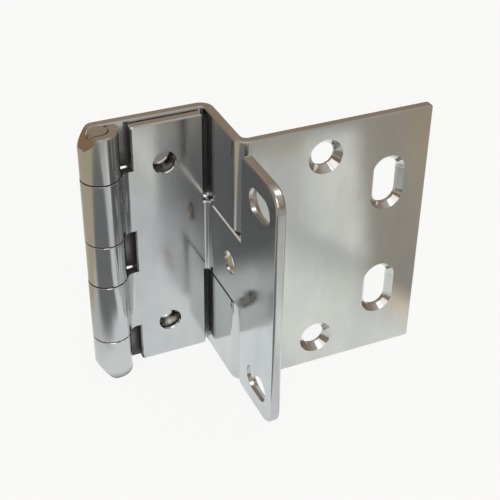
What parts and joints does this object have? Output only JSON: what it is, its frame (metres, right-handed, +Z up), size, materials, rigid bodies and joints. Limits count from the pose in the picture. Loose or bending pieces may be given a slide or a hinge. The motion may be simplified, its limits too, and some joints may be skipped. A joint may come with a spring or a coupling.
{
  "type": "five-knuckle hinge",
  "caption": "Full-wrap cabinet hinge in bright plated sheet: a rolled barrel with slanted tips, a Z-folded cabinet leaf and a T-flanged door leaf, with countersunk holes and slots.",
  "frame": {"origin": "middle of the outline seen from above, on the plane the hinge stands on", "axes": "+Z up along the pin; +X from the barrel towards the cabinet flange's free edge; +Y to the back, so the door flange comes forward to -Y"},
  "size_m": [0.0826, 0.0441, 0.0698],
  "materials": {
    "cabinet_leaf": "polished bright plating",
    "door_leaf": "polished bright plating",
    "hinge_pin": "ground and polished with the tips"
  },
  "bodies": {
    "cabinet_side": {"cabinet_leaf": "cabinet_leaf", "hinge_pin": "hinge_pin"},
    "door_side": {"door_leaf": "door_leaf"}
  },
  "joints": [
    {"name": "door_swing", "type": "hinge", "parent": "cabinet_side", "child": "door_side", "pos_m": [-0.03645, 0.01721, 0.03492], "axis": [0, 0, -1], "range_deg": [0, 270]}
  ]
}
